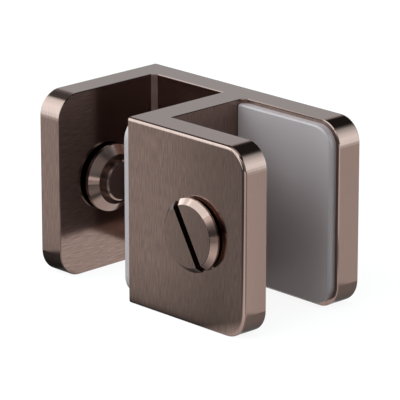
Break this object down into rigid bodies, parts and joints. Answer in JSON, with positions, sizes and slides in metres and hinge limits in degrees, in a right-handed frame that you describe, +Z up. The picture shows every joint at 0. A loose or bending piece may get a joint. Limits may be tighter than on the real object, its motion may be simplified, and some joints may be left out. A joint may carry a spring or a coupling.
{
  "type": "corner glass panel clamp",
  "caption": "Square-cornered brushed metal clamp that joins two glass panels at a right angle: slotted screws press swivel feet on the glass, against grey pads.",
  "frame": {"origin": "middle of the base of the whole clamp, screw heads included", "axes": "+Z up along the corner where the two panels meet, +X along the back plate towards the open end of the right slot, +Y from the front plate to the back plate"},
  "size_m": [0.0444, 0.0252, 0.028],
  "materials": {
    "body_metal": "brushed and coated dark bronze, satin",
    "screw_metal": "brushed and coated dark bronze, polished chamfers",
    "foot_metal": "turned and coated dark bronze, polished",
    "pad": "soft grey sheet, matte"
  },
  "bodies": {
    "clamp": {"clamp_body": "body_metal", "left_glass_pad": "pad", "right_glass_pad": "pad"},
    "left_foot": {"left_pressure_foot": "foot_metal"},
    "left_screw": {"left_clamp_screw": "screw_metal"},
    "right_foot": {"right_pressure_foot": "foot_metal"},
    "right_screw": {"right_clamp_screw": "screw_metal"}
  },
  "joints": [
    {"name": "left_screw_feed", "type": "slide", "parent": "clamp", "child": "left_foot", "axis": [1, 0, 0], "range_m": [-0.0005, 0.00025]},
    {"name": "left_screw_turn", "type": "hinge", "parent": "left_foot", "child": "left_screw", "pos_m": [-0.02043, -0.00136, 0.014], "axis": [1, 0, 0], "range_deg": [-150, 75]},
    {"name": "right_screw_feed", "type": "slide", "parent": "clamp", "child": "right_foot", "axis": [0, 1, 0], "range_m": [-0.0005, 0.00025]},
    {"name": "right_screw_turn", "type": "hinge", "parent": "right_foot", "child": "right_screw", "pos_m": [0.01252, -0.01086, 0.01375], "axis": [0, 1, 0], "range_deg": [-150, 75]}
  ],
  "couplings": [
    {"joint": "left_screw_turn", "follows": "left_screw_feed", "rad_per_m": 5026.5},
    {"joint": "right_screw_turn", "follows": "right_screw_feed", "rad_per_m": 5026.5}
  ]
}
